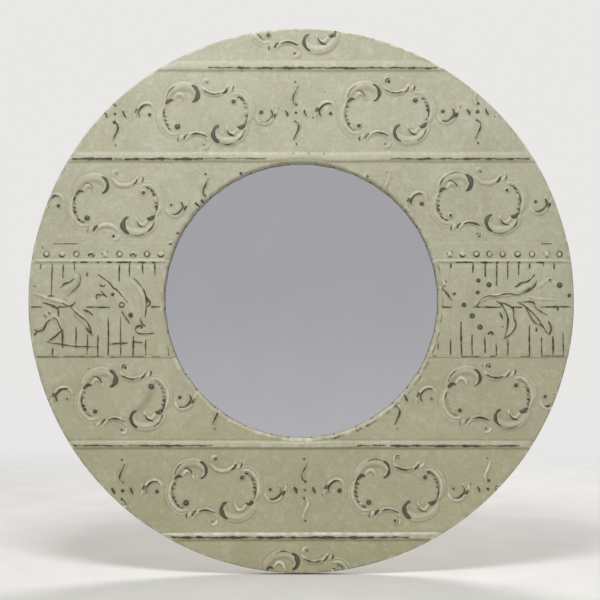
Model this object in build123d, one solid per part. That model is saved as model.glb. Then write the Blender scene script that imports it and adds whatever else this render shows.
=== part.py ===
"""Round wall mirror framed in pressed ceiling tin.

A plywood ring carries the frame. Four pieces of old pressed tin are laid over its front, folded
round its outer edge and in through its opening, where the tin is cut into tabs. A second, smaller
ring behind it makes the rebate for the glass. Six offset clips hold the glass and its hardboard
back, and two D-ring hangers and two rubber bumpers meet the wall.

Millimetres. X is to the right, Z is up and -Y faces the room. The origin is the middle of the
disc on the wall plane, which the bumpers touch.
"""
import os
from math import cos, radians, sin, sqrt

from build123d import *

# ---- overall sizes ----
outer_diameter = 914.0  # over the folded tin, 36 in
sight_diameter = 460.0  # clear opening inside the folded tabs
board_thickness = 18.0  # front ring, plywood
rear_ring_thickness = 12.0  # rear ring, plywood
rear_ring_set_in = 27.0  # how far the rear ring stops short of the outer edge
bumper_height = 8.0  # stand-off from the wall

# ---- tin ----
tin_thickness = 0.5  # thin steel sheet with its coats of paint
edge_clearance = 0.3  # tin to the curved edges of the board
lap_clearance = 0.1  # between two sheets where they lap
lap_width = 12.0  # the frieze lies this far over its neighbours
outer_fold = 2.0  # bevel of the fold at the front edge; the other folds are hammered sharp
back_flange_width = 12.0  # tin turned behind the board
back_notch_count = 24  # V cuts that let the flange lie flat
back_notch_width = 5.0
back_notch_stop = 2.0  # a cut ends this far inside the outer fold
tab_count = 40  # tabs turned into the opening
tab_slit_width = 1.2
tab_slit_reach = 2.0  # the slit runs this far on to the face
tab_glass_gap = 1.0  # end of a tab to the glass

# ---- straight ridges of the pressed pattern ----
ridge_width = 10.5
ridge_height = 3.2
ridge_pitch = 151.0  # rows of the pressed pattern
upper_first_ridge = 239.4  # height of the ridge just above the opening
lower_first_ridge = -242.0  # height of the ridge just below it
upper_joint = 97.5  # top edge of the frieze
lower_joint = -94.9  # bottom edge of the frieze
frieze_ridge_z = 67.0
frieze_ridge_width = 7.0
frieze_ridge_height = 2.2
press_margin = 3.0  # flat strip left between the pressing and a fold

# ---- mirror and its back ----
glass_thickness = 4.0
glass_overlap = 8.5  # glass behind the board, all round
glass_clearance = 1.5  # glass edge to the rear ring
backing_thickness = 3.0

# ---- offset clips ----
clip_count = 6
clip_width = 14.0
clip_thickness = 1.2
clip_foot = 12.0  # length of the foot on the backing
clip_seat = 18.0  # length of the seat on the rear ring
clip_bend = 1.0  # bevel inside each bend
clip_edge_gap = 1.6  # clip to the edge of the rebate
clip_first_angle = 30.0
clip_screw_share = 0.6  # of the seat's length, from its bend to the screw

# ---- D-ring hangers ----
hanger_inset = 59.0  # from the rear ring's edge to the middle of the hinge
hanger_angle = 36.0  # above the horizontal, on each side
ring_wire = 3.0
ring_inside_width = 19.0
ring_leg = 5.0  # straight part of the D beside the bar
ring_corner = 3.0  # cut across each corner of the D
ring_bow_steps = 5  # short straight lengths that make its bow
ring_play = 0.3  # wire to the rolled loop, radially
strap_width = 14.0
strap_thickness = 1.2
strap_length = 46.0
strap_screw_offsets = (11.5, 36.0)  # the first screw's head sits inside the hanging D
strap_end_cut = 4.0  # across each corner of its free end
curl_gap = 0.3  # end of the rolled loop to the strap

# ---- wall bumpers ----
bumper_inset = 52.0  # from the rear ring's edge to its middle
bumper_angle = -52.5  # below the horizontal, on each side
bumper_diameter = 20.0

# ---- holes for the screws that fasten the metal pieces ----
clip_hole = 4.1
mount_hole = 4.8

# ---- where the pieces lie along Y ----
rear_face = -bumper_height
board_back = rear_face - rear_ring_thickness
board_front = board_back - board_thickness
glass_back = board_back + glass_thickness
backing_back = glass_back + backing_thickness
tab_end = board_back - tab_glass_gap

# ---- radii ----
lap = tin_thickness + lap_clearance
sheet_stack = lap + tin_thickness  # two layers of tin, one lapped over the other
seat_outer = outer_diameter / 2 - sheet_stack  # inside of the lower layer of tin
seat_inner = sight_diameter / 2 + sheet_stack  # outside of the lower layer of tabs
board_outer = seat_outer - edge_clearance
board_inner = seat_inner + edge_clearance
glass_radius = board_inner + glass_overlap
rear_ring_inner = glass_radius + glass_clearance
rear_ring_outer = outer_diameter / 2 - rear_ring_set_in
clip_hole_radius = rear_ring_inner + clip_edge_gap + clip_seat * clip_screw_share

# ---- hanger ----
ring_radius = ring_wire / 2
loop_inner = ring_radius + ring_play
loop_outer = loop_inner + strap_thickness
ring_half_width = ring_inside_width / 2 + ring_radius
hinge_y = rear_face + loop_outer
hanger_x = (rear_ring_outer - hanger_inset) * cos(radians(hanger_angle))
hanger_z = (rear_ring_outer - hanger_inset) * sin(radians(hanger_angle))

# ---- bumpers ----
bumper_x = (rear_ring_outer - bumper_inset) * cos(radians(bumper_angle))
bumper_z = (rear_ring_outer - bumper_inset) * sin(radians(bumper_angle))

far = outer_diameter  # longer than anything it cuts
cut_over = 1.0  # a cutter runs this far past what it cuts


def around(radius, angle):
    """A place at this radius and angle on the disc; 0 is to the right and 90 is up."""
    return Rot(0, -angle, 0) * Pos(radius, 0, 0)


def ring(inner, outer, back, front):
    """A flat ring between two depths, back nearer the wall."""
    section = Pos((inner + outer) / 2, (back + front) / 2) * Rectangle(outer - inner, back - front)
    return revolve(section, axis=Axis.Y)


def disc(radius, back, front):
    """A flat disc between two depths."""
    section = Pos(radius / 2, (back + front) / 2) * Rectangle(radius, back - front)
    return revolve(section, axis=Axis.Y)


def slab(low, high, side=0):
    """All that lies between two heights, on one side of the middle if a side is given."""
    across = Pos(side * far / 2, 0, 0) if side else Pos(0, 0, 0)
    width = far if side else 2 * far
    return across * Pos(0, 0, (low + high) / 2) * Box(width, far, high - low)


# ---- tin sheets ----
def wrapped_board(offset):
    """The round body that the tin is folded over, grown outward by an offset."""
    inner = seat_inner - offset
    outer = seat_outer + offset
    front = board_front - offset
    back = board_back + offset
    bevel = outer_fold + offset * (2 - sqrt(2))  # keeps the tin one thickness through the bevel
    points = [(inner, back), (outer, back), (outer, front + bevel), (outer - bevel, front), (inner, front)]
    return revolve(make_face(Polyline(*points, close=True)), axis=Axis.Y)


def half_chord(radius, height):
    """Half of a circle's width at a height, or nothing where the height is beyond it."""
    return sqrt(max(0.0, radius**2 - height**2))


def ridge_spans(height, width, side):
    """Where a ridge runs along the sheet, from fold to fold: on both sides of the opening if it meets it."""
    end = half_chord(seat_outer - outer_fold - press_margin, abs(height) + width / 2)
    start = half_chord(seat_inner + press_margin, abs(height) - width / 2)
    if side == 0 and start == 0:
        return [(-end, end)]
    right, left = (start, end), (-end, -start)
    return {0: [left, right], 1: [right], -1: [left]}[side]


def ridge_bars(face, ridge, side, inset):
    """Half-round bars over one face of the sheet, smaller all round by an inset."""
    height, width, rise = ridge
    radius = (width**2 / 4 + rise**2) / (2 * rise)  # arc this high on a chord this wide
    depth = rise + tin_thickness / 2 + inset  # a solid bar ends inside the tin, its hollow behind it
    bars = []
    for start, end in ridge_spans(height, width, side):
        bar = Rot(0, 90, 0) * Cylinder(radius - inset, end - start - 2 * inset)
        trim = Pos(0, depth / 2 - radius, 0) * Box(end - start, depth, width)
        bars.append(Pos((start + end) / 2, face - rise + radius, height) * (bar & trim))
    return bars


def tab_slits():
    """Slits that part the tabs, from a little way on to the face to behind the board."""
    inner = sight_diameter / 2 - cut_over
    length = seat_inner + tab_slit_reach - inner
    depth = board_thickness + 2 * (sheet_stack + cut_over)
    slit = Pos(length / 2, 0, 0) * Box(length, depth, tab_slit_width)
    turns = [360 / tab_count * (n + 0.5) for n in range(tab_count)]
    return [Pos(0, (board_front + board_back) / 2, 0) * around(inner, turn) * slit for turn in turns]


def flange_notches():
    """V cuts in the flange behind the board, widest at its free edge."""
    free_edge = seat_outer - back_flange_width
    half = back_notch_width / 2
    start = free_edge - cut_over
    points = [(start, -half), (start, half), (seat_outer - back_notch_stop, 0)]
    outline = Plane.XZ * make_face(Polyline(*points, close=True))
    wedge = extrude(outline, amount=sheet_stack + cut_over, both=True)
    turns = [360 / back_notch_count * n for n in range(back_notch_count)]
    return [Pos(0, board_back, 0) * Rot(0, -turn, 0) * wedge for turn in turns]


def folded_blank(lift):
    """Tin over the whole board: its face, tabs, turned edge and the notched flange behind."""
    blank = wrapped_board(lift + tin_thickness) - wrapped_board(lift)
    open_inner = sight_diameter / 2 - cut_over
    open_outer = seat_outer - back_flange_width
    blank -= ring(open_inner, open_outer, board_back + sheet_stack + cut_over, tab_end)
    return blank - tab_slits() - flange_notches()


def tin_sheet(low, high, ridges, lift=0.0, side=0):
    """One sheet of tin between two heights, with its ridges pressed out.

    ridges holds a height, width and rise for each; lift raises a sheet that laps over its
    neighbours; side limits the sheet to the left or the right of the middle.
    """
    sheet = blanks[lift] & slab(low, high, side)
    front = board_front - lift - tin_thickness
    for ridge in ridges:
        sheet += ridge_bars(front, ridge, side, 0.0)
    for ridge in ridges:
        sheet -= ridge_bars(front, ridge, side, tin_thickness)
    return sheet


def ridge_rows(first, step):
    """Heights of the ridges from the first one outward, as far as the disc reaches."""
    rows = []
    height = first
    while abs(height) + ridge_width < seat_outer - outer_fold - press_margin:
        rows.append((height, ridge_width, ridge_height))
        height += step
    return rows


blanks = {lift: folded_blank(lift) for lift in (0.0, lap)}


def screw_hole(place_y, diameter):
    """A hole right through a thin piece whose face is at this depth."""
    return Pos(0, place_y, 0) * Rot(90, 0, 0) * Cylinder(diameter / 2, board_thickness)


# ---- rings, glass and backing ----
def ring_board():
    """The front ring, its outer front edge bevelled for the tin's fold."""
    board = ring(board_inner, board_outer, board_back, board_front)
    front_edges = board.edges().filter_by(GeomType.CIRCLE).group_by(Axis.Y)[0]
    return chamfer(front_edges.sort_by(SortBy.RADIUS)[-1], outer_fold)


def rear_ring():
    """The rear ring, whose opening is the rebate for the glass."""
    return ring(rear_ring_inner, rear_ring_outer, rear_face, board_back)


# ---- offset clip ----
def mirror_clip(angle):
    """A Z-shaped strip: a seat on the rear ring, a step down its edge and a foot on the backing."""
    step = rear_ring_inner - clip_edge_gap - clip_thickness
    top = rear_face + clip_thickness
    foot_end = step - clip_foot
    seat_end = rear_ring_inner + clip_seat
    foot_top = backing_back + clip_thickness
    outer_bends = [(step + clip_thickness, backing_back), (step, top)]
    inner_bends = [(step + clip_thickness, rear_face), (step, foot_top)]
    points = [(foot_end, backing_back), outer_bends[0], inner_bends[0], (seat_end, rear_face)]
    points += [(seat_end, top), outer_bends[1], inner_bends[1], (foot_end, foot_top)]
    section = make_face(Polyline(*points, close=True))
    section = bend_corners(section, inner_bends, clip_bend)
    section = bend_corners(section, outer_bends, clip_bend + clip_thickness * (2 - sqrt(2)))
    strip = extrude(section, amount=clip_width / 2, both=True)
    hole = Pos(clip_hole_radius, 0, 0) * screw_hole(top, clip_hole)
    return Rot(0, -angle, 0) * (strip - hole)


def bend_corners(section, places, length):
    """Bevels the corners of a section that lie at the given places."""
    for x, y in places:
        section = chamfer(section.vertices().sort_by_distance(Vector(x, y, 0))[0], length)
    return section


# ---- hanger ----
def hanger_strap(x):
    """A steel strap, rolled at its top into the loop that holds the D-ring."""
    strap = Pos(-strap_length / 2, strap_thickness / 2) * Rectangle(strap_length, strap_thickness)
    loop = Pos(0, loop_outer) * (Circle(loop_outer) - Circle(loop_inner))
    slit = Pos(-loop_outer, strap_thickness + curl_gap / 2) * Rectangle(2 * loop_outer, curl_gap)
    body = extrude(strap + loop - slit, amount=strap_width / 2, both=True)
    body = chamfer(body.edges().filter_by(Axis.Y).sort_by(Axis.X)[:2], strap_end_cut)
    for down in strap_screw_offsets:
        body -= Pos(-down, 0, 0) * screw_hole(0, mount_hole)
    return Pos(x, rear_face, hanger_z) * Rot(0, -90, 0) * body


def hanger_ring(x):
    """A D of round wire, bent in short steps, whose straight bar turns in the strap's loop."""
    shoulder = ring_corner + ring_leg
    turns = [180 / ring_bow_steps * n for n in range(ring_bow_steps + 1)]
    start = Vector(ring_half_width, 0, 0)
    bow = [start.rotate(Axis.Y, -turn) + Vector(0, 0, shoulder) for turn in turns]
    bar_end = ring_half_width - ring_corner
    points = [(0, 0, 0), (bar_end, 0, 0), (ring_half_width, 0, ring_corner)] + bow
    points += [(-ring_half_width, 0, ring_corner), (-bar_end, 0, 0)]
    path = Polyline(*points, close=True)
    wire_end = Plane(origin=(0, 0, 0), z_dir=(1, 0, 0)) * Circle(ring_radius)
    return Pos(x, hinge_y, hanger_z) * sweep(wire_end, path=path, transition=Transition.RIGHT)


# ---- wall bumper ----
def wall_bumper():
    """A stick-on rubber bumper, its base at the origin."""
    return Pos(0, bumper_height / 2, 0) * Rot(90, 0, 0) * Cylinder(bumper_diameter / 2, bumper_height)


def build_nodes():
    """Every node of the mirror, by name."""
    upper_ridges = ridge_rows(upper_first_ridge, ridge_pitch)
    lower_ridges = ridge_rows(lower_first_ridge, -ridge_pitch)
    frieze_ridges = [(frieze_ridge_z, frieze_ridge_width, frieze_ridge_height)]
    nodes = {
        "ring_board": ring_board(),
        "rear_ring": rear_ring(),
        "tin_upper_sheet": tin_sheet(upper_joint - lap_width, far, upper_ridges),
        "tin_lower_sheet": tin_sheet(-far, lower_joint + lap_width, lower_ridges),
        "tin_frieze_left": tin_sheet(lower_joint, upper_joint, frieze_ridges, lap, -1),
        "tin_frieze_right": tin_sheet(lower_joint, upper_joint, frieze_ridges, lap, 1),
        "mirror_glass": disc(glass_radius, glass_back, board_back),
        "mirror_backing": disc(glass_radius, backing_back, glass_back),
    }
    for n in range(clip_count):
        nodes[f"mirror_clip_{n + 1}"] = mirror_clip(clip_first_angle + 360 / clip_count * n)
    for name, side in (("left", -1), ("right", 1)):
        nodes["hanger_strap_" + name] = hanger_strap(side * hanger_x)
        nodes["hanger_ring_" + name] = hanger_ring(side * hanger_x)
        nodes["wall_bumper_" + name] = Pos(side * bumper_x, rear_face, bumper_z) * wall_bumper()
    return nodes


os.makedirs("parts", exist_ok=True)
for name, shape in build_nodes().items():
    shape.label = name
    export_step(shape, f"parts/{name}.step")
    print(f"{name}: {len(shape.solids())} solids, {shape.volume:.0f} mm3")
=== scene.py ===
# %% [markdown]
# # A round mirror framed in old pressed tin
#
# The real object is a broad flat plywood ring covered with four pieces of old pressed ceiling tin.
# The tin is painted a pale cream, and where its raised lines were rubbed the dark metal shows. A
# round glass sits deep in the opening. The solid model already holds every part at its true size,
# so it is loaded first as a fixed frame, and all that is added here is placed by it, in metres.

# %% Load the fixed frame
import math

import bmesh
import bpy
import numpy as np
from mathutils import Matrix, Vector


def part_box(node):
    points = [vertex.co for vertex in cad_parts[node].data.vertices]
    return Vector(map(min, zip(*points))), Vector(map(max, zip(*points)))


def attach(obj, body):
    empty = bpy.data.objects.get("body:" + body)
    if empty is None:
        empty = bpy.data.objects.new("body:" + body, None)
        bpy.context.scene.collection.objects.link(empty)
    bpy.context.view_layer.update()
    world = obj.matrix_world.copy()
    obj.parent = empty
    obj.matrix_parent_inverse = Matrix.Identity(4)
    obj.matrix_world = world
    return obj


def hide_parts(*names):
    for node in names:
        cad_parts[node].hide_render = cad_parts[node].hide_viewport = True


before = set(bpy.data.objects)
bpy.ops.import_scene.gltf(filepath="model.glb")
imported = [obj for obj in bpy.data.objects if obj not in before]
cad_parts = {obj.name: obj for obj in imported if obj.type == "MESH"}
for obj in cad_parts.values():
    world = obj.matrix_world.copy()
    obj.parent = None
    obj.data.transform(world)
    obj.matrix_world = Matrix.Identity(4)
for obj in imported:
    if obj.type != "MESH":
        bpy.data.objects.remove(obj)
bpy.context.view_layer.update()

MM = 0.001

# %% [markdown]
# ## Colour and nodes
#
# Colours are easiest to judge as the hex values of a paint chart, but shaders add light in linear
# numbers, so one function turns the first into the second. One more adds a node with its settings
# and links, which keeps each material short enough to read as a recipe, from the inside outwards.

# %% Colours from hex, and patterns by their real size
def colour(text):
    """A hex colour, as seen on a screen, in the linear values that a shader needs."""
    parts = [int(text[n:n + 2], 16) / 255 for n in (1, 3, 5)]
    linear = [c / 12.92 if c <= 0.04045 else ((c + 0.055) / 1.055) ** 2.4 for c in parts]
    return (*linear, 1.0)


def per(size):
    """The scale that makes the patches of a pattern about this many millimetres across."""
    return 1 / (size * MM)


print("mid cream", [round(c, 3) for c in colour("#B4B297")], "and the scale of a 4 mm patch", round(per(4)))

# %% A node with its settings and links
def add(tree, kind, *links, stops=(), ease="LINEAR", **named):
    """Adds one node. Numbers, colours, nodes or sockets go to its inputs in order, or to one by name.

    A name in small letters is a menu of the node. Stops are a ramp's places, each with a grey or a
    hex colour. A node that is linked gives its first output in use.
    """
    node = tree.nodes.new("ShaderNode" + kind)
    for name in [name for name in named if name.islower()]:
        setattr(node, name, named.pop(name))
    if stops:
        node.color_ramp.interpolation = ease
        while len(node.color_ramp.elements) < len(stops):
            node.color_ramp.elements.new(0.5)
        for element, (place, shade) in zip(node.color_ramp.elements, stops):
            element.position = place
            element.color = colour(shade) if isinstance(shade, str) else (shade, shade, shade, 1)
    pairs = list(zip([socket for socket in node.inputs if socket.enabled], links))
    pairs += [(node.inputs[name.replace("_", " ")], value) for name, value in named.items()]
    for socket, value in pairs:
        if isinstance(value, bpy.types.Node):
            value = next(output for output in value.outputs if output.enabled)
        if isinstance(value, bpy.types.NodeSocket):
            tree.links.new(value, socket)
        else:
            socket.default_value = value
    return node


def material(name):
    """An empty material, its node tree, and the place of each point on the object."""
    made = bpy.data.materials.new(name)
    made.use_nodes = True
    made.node_tree.nodes.clear()
    return made, made.node_tree, add(made.node_tree, "TexCoord").outputs["Object"]


def coat(node, finish):
    """Gives a solid of the frame its finish."""
    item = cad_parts[node]
    item.data.materials.clear()
    item.data.materials.append(finish)
    return item


print("one function adds every node")

# %% Put an object in the scene
def put(name, data, place=(0, 0, 0)):
    """Puts an object in the scene."""
    item = bpy.data.objects.new(name, data)
    item.location = place
    bpy.context.scene.collection.objects.link(item)
    return item


# %% [markdown]
# ## Camera, light and floor
#
# A wall mirror is seen straight on. A long lens from about two and a half metres keeps the ring
# round and lets only a thin line of its opening's wall show. One broad lamp above and to the left
# grazes the tin, so every pressed line gets a lit upper side and a soft shade below it, and the
# light fades a little towards the bottom. A second lamp behind lights the back. The world fills
# the shadows.

# %% Camera
camera = put("camera", bpy.data.cameras.new("camera"), (-2.06 * MM, -2.409, 1.36 * MM))
camera.data.lens = 85
camera.data.sensor_width = 36
camera.rotation_euler = (math.radians(90), 0, 0)
bpy.context.scene.camera = camera
bpy.context.scene.view_settings.view_transform = "Standard"
print("camera is", round(-camera.location.y, 2), "m in front of the wall")

# %% Lamps
def lamp(name, place, size, power):
    """A square lamp that faces the middle of the frame."""
    light = bpy.data.lights.new(name, "AREA")
    light.size = size
    light.energy = power
    put(name, light, place).rotation_euler = (-Vector(place)).to_track_quat("-Z", "Y").to_euler()


lamp("key_lamp", (-0.22, -1.3, 1.75), 0.7, 41)
lamp("back_lamp", (0.5, 1.9, 1.9), 1.2, 52)
print("one lamp in front and one behind")

# %% World, pale behind the object and softly darker on the viewer's side
world = bpy.data.worlds.new("room")
world.use_nodes = True
bpy.context.scene.world = world
room = world.node_tree
room.nodes.clear()
axis = add(room, "SeparateXYZ", add(room, "TexCoord").outputs["Generated"]).outputs
depth = add(room, "MapRange", axis["Y"], -1.0, 0.6)
wall = add(room, "ValToRGB", depth, ease="EASE",
           stops=[(0.0, "#BABABD"), (0.4, "#C8C7CA"), (1.0, "#E9E8E6")])
lower_half = add(room, "MapRange", axis["Z"], 0.02, -0.1, 0.0, 0.3, interpolation_type="SMOOTHSTEP")
wall = add(room, "Mix", lower_half, wall, colour("#E6E5E8"), data_type="RGBA")
seen = add(room, "LightPath").outputs
direct = add(room, "Math", seen["Is Camera Ray"], seen["Is Glossy Ray"], operation="MAXIMUM")
direct = add(room, "Math", direct, seen["Is Transmission Ray"], operation="MAXIMUM")
fill = add(room, "Background", colour("#DAD9D6"), 0.5)
add(room, "OutputWorld", add(room, "MixShader", direct, fill, add(room, "Background", wall, 1.0)))
print("world set")

# %% Floor, fading into the background
floor_level = -0.4585
shape = bmesh.new()
bmesh.ops.create_circle(shape, cap_ends=True, radius=2.3, segments=96)
floor_mesh = bpy.data.meshes.new("floor")
shape.to_mesh(floor_mesh)
shape.free()
floor = put("floor", floor_mesh, (0, 0, floor_level))
# matt paint on a smooth floor: an even pale grey with faint clouds and no shine
made, tree, place = material("matt_floor_paint")
grain = add(tree, "TexNoise", place, Scale=per(110), Detail=4.0)
grey = add(tree, "ValToRGB", grain, stops=[(0.3, "#CFCECB"), (0.7, "#D6D5D2")])
paint = add(tree, "BsdfPrincipled", Base_Color=grey, Roughness=0.8)
reach = add(tree, "VectorMath", place, operation="LENGTH")
gone = add(tree, "MapRange", reach, 1.1, 2.2, interpolation_type="SMOOTHSTEP")
add(tree, "OutputMaterial", add(tree, "MixShader", gone, paint, add(tree, "BsdfTransparent")))
floor.data.materials.append(made)
print("floor lies at", floor_level, "m")

# %% [markdown]
# ## Drawing in tin
#
# Ceiling tin is stamped between two dies, so its ornament is one smooth skin of raised lines. The
# face of each sheet is a fine grid, and a line of the ornament is a smooth curve through a few
# points in millimetres. Each grid point near the curve is raised by a rounded profile. A wiping
# hand wears a raised line along its crest first, so the distance from the curve also tells where
# the paint is gone. It is stored with a sign, plus on one side and minus on the other, because a
# number that runs evenly through nought keeps a worn line crisp on a grid coarser than the line.

# %% A smooth curve through a few points
def curve(points, step=1.2):
    """Points along a smooth curve that passes through the given ones, about a step apart."""
    knots = np.array(points, float)
    if len(knots) == 1:
        return knots
    padded = np.vstack([2 * knots[0] - knots[1], knots, 2 * knots[-1] - knots[-2]])
    run = []
    for a, b, c, d in zip(padded, padded[1:], padded[2:], padded[3:]):
        count = max(1, int(np.hypot(*(c - b)) / step))
        t = np.linspace(0, 1, count, endpoint=False)[:, None]
        run.append(0.5 * (2 * b + (c - a) * t + (2 * a - 5 * b + 4 * c - d) * t**2
                          + (3 * b - 3 * c + d - a) * t**3))
    line = np.vstack([*run, knots[-1:]])
    for _ in range(4):
        line[1:-1] = (line[:-2] + 2 * line[1:-1] + line[2:]) / 4
    return line


print("a curve through three places has", len(curve([(0, 0), (10, 5), (20, 0)])), "points")

# %% Distance from a curve
def measure(x, z, line):
    """Each point's distance from a line, with a sign for its side, how far along the line its
    nearest place is, from 0 to 1, and how far the point lies past the line's end."""
    nothing = np.zeros(x.shape)
    if len(line) == 1:
        return np.hypot(x - line[0, 0], z - line[0, 1]), nothing + 0.5, nothing
    near, side, along, past = nothing + 1e9, nothing, nothing, nothing
    runs = np.hypot(*np.diff(line, axis=0).T)
    gone = np.concatenate([[0], np.cumsum(runs)])
    for n, run in enumerate(runs):
        if run == 0:
            continue
        (ax, az), (bx, bz) = line[n], line[n + 1]
        ux, uz = (bx - ax) / run, (bz - az) / run
        t = (x - ax) * ux + (z - az) * uz
        beyond = np.maximum(-t if n == 0 else 0, t - run if n == len(runs) - 1 else 0)
        on_left = (x - ax) * uz - (z - az) * ux
        t = np.clip(t, 0, run)
        d = np.hypot(x - ax - t * ux, z - az - t * uz)
        closer = d < near
        near = np.where(closer, d, near)
        side = np.where(closer, np.copysign(d, on_left), side)
        along = np.where(closer, (gone[n] + t) / gone[-1], along)
        past = np.where(closer, np.maximum(beyond, 0), past)
    return side, along, past


beside = measure(np.array([5.0]), np.array([3.0]), np.array([(0.0, 0.0), (10.0, 0.0)]))
print("3 mm above the middle of a line: side", beside[0], "along", beside[1], "past", beside[2])

# %% A gentle random surface
def ripple(x, z, size, seed, waves=9):
    """A smooth random surface, about -1 to 1, with its bumps roughly a size apart, in millimetres."""
    dice = np.random.default_rng(seed)
    total = np.zeros_like(x)
    for _ in range(waves):
        turn, phase = dice.uniform(0, 2 * np.pi, 2)
        pitch = size * dice.uniform(0.7, 1.6)
        total += np.sin((x * np.cos(turn) + z * np.sin(turn)) * 2 * np.pi / pitch + phase)
    return total / math.sqrt(waves) / 1.4


print("a random surface at its middle:", ripple(np.zeros(1), np.zeros(1), 70, 0).round(2))

# %% One sheet's grid and what is drawn on it
class Sheet:
    """The flat face of one sheet of tin as a grid: how far it is raised, and how its paint is."""

    def __init__(self, low, high, left, right, step):
        rows = int(round((high - low) / step)) + 1
        columns = int(round((right - left) / step)) + 1
        self.x, self.z = np.meshgrid(np.linspace(left, right, columns), np.linspace(low, high, rows))
        self.rise = np.zeros_like(self.x)
        self.side = np.full_like(self.x, 6.0)  # signed distance from the nearest worn line
        self.half = np.full_like(self.x, -6.0)  # half of that line's width there
        self.stain = np.zeros_like(self.x)
        # grime, with the ridges' painted shade below them and painted highlight on their top edge
        self.grime_and_painted_light = np.zeros_like(self.x)
        self.low = np.zeros_like(self.x)  # how deep in a hollow each place is, once the sheet has settled
        self.step = step

    def near(self, line, reach):
        """The part of the grid that lies within reach of a line."""
        low_x, low_z = line.min(0) - reach
        high_x, high_z = line.max(0) + reach
        columns = np.flatnonzero((self.x[0] >= low_x) & (self.x[0] <= high_x))
        rows = np.flatnonzero((self.z[:, 0] >= low_z) & (self.z[:, 0] <= high_z))
        if not len(columns) or not len(rows):
            return None
        return np.s_[rows[0]:rows[-1] + 1, columns[0]:columns[-1] + 1]

    def press(self, points, width, rise, taper=0.35):
        """Raises a rounded line of this width, thinner towards its ends."""
        line = curve(points)
        part = self.near(line, width)
        if part is None:
            return
        side, along, _ = measure(self.x[part], self.z[part], line)
        full = taper + (1 - taper) * np.sin(np.pi * along) ** 0.6 if len(line) > 1 else 1.0
        swell = rise * full * np.clip(1 - (2 * side / (width * full)) ** 2, 0, 1) ** 1.3
        here = self.rise[part]
        self.rise[part] = np.maximum(swell, here) + 0.2 * np.minimum(swell, here)

    def wear(self, points, half_width, taper=0.25):
        """Marks a line where the paint is rubbed down to the metal, thinner towards its ends."""
        line = curve(points)
        part = self.near(line, half_width + 6)
        if part is None:
            return
        side, along, past = measure(self.x[part], self.z[part], line)
        full = taper + (1 - taper) * np.sin(np.pi * along) ** 0.6 if len(line) > 1 else 1.0
        gone = along * len(line) * 1.2
        full = full * (1 + 0.16 * np.sin(gone / 2.6 + line[0, 0]) + 0.14 * np.sin(gone / 5.3 + line[0, 1]))
        half = half_width * full - past
        half = half - 3 * np.maximum(0, np.abs(side) - half - self.step)
        better = half - np.abs(side) > self.half[part] - np.abs(self.side[part])
        self.side[part] = np.where(better, side, self.side[part])
        self.half[part] = np.where(better, half, self.half[part])

    def tint(self, points, width, amount, layer="stain"):
        """Marks a soft stain along a line, or with layer="grime" a dirty smear."""
        line = curve(points)
        part = self.near(line, 2 * width)
        if part is None:
            return
        side, _, _ = measure(self.x[part], self.z[part], line)
        marks = getattr(self, layer)
        marks[part] = np.maximum(marks[part], amount * np.exp(-(side / width) ** 2))


print("the drawing tools are ready")

# %% [markdown]
# ## The ornament
#
# The pattern is two old favourites of stamped ceilings. A cartouche is an oval made of two C
# scrolls, the lower one the upper one turned half round. Between two cartouches stands a little
# cross of S curves, commas and curled scrolls, and that is also the same when it is turned half
# round. So only one half of each is drawn, and a function repeats it. A scroll is a broad soft
# roll with fine rubbed lines along its edges, so the two kinds of line are listed apart.

# %% Half of the cartouche, in millimetres from its middle
cartouche_rolls = [  # points, width, rise
    ([(-68, 17), (-64, 31), (-53, 42), (-38, 46), (-24, 43), (-15, 33), (-20, 21)], 15, 1.7),
    ([(-71, 18), (-68, 32), (-57, 45), (-41, 51), (-26, 50), (-15, 43), (-10, 32)], 6.5, 1.1),
    ([(-54, 24), (-46, 33), (-38, 30), (-34, 20)], 8, 1.5),
    ([(-58, 24), (-69, 14), (-75, 0), (-74, -14), (-67, -26), (-57, -34), (-46, -33)], 9, 1.5),
    ([(-64, 20), (-75, 10), (-80, -3), (-78, -17), (-71, -30), (-59, -39), (-47, -39)], 5.5, 0.9),
    ([(-47, -21)], 12, 1.9),
    ([(-6, 45), (4, 35), (18, 33), (30, 38), (37, 47)], 9.5, 1.6),
    ([(38, 36), (46, 45)], 7, 1.1),
    ([(-5, 49), (-3, 56), (5, 58)], 7, 1.1),
]
cartouche_wear = [  # points, half width
    ([(-23, 48), (-17.5, 44.5), (-13.8, 39), (-12.5, 33), (-13.8, 27), (-17, 22.5), (-22, 19.5)], 2.7),
    ([(-51, 37), (-46, 36.8), (-41, 34.5), (-37.5, 30.5), (-36, 26)], 1.0),
    ([(-53, 21), (-58, 25), (-63, 22), (-67, 16)], 1.5),
    ([(-65, 19), (-58, 24)], 2.3),
    ([(-24, 49), (-37, 51.5), (-50, 47.5)], 0.7),
    ([(-51, 47), (-61, 38), (-66, 26)], 0.75),
    ([(-47, -21)], 3.7),
    ([(-3, 39), (6, 34.5), (14, 33), (20, 33.5), (26, 36)], 1.25),
    ([(29, 34), (33.5, 37), (35.5, 40), (36, 44)], 1.35),
    ([(44, 38), (46.5, 42), (46, 47)], 0.9),
    ([(-3, 50), (-1, 57), (5, 57)], 0.6),
    ([(3, 52)], 1.5),
]
print("half a cartouche has", len(cartouche_rolls), "rolls and", len(cartouche_wear), "worn lines")

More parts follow.
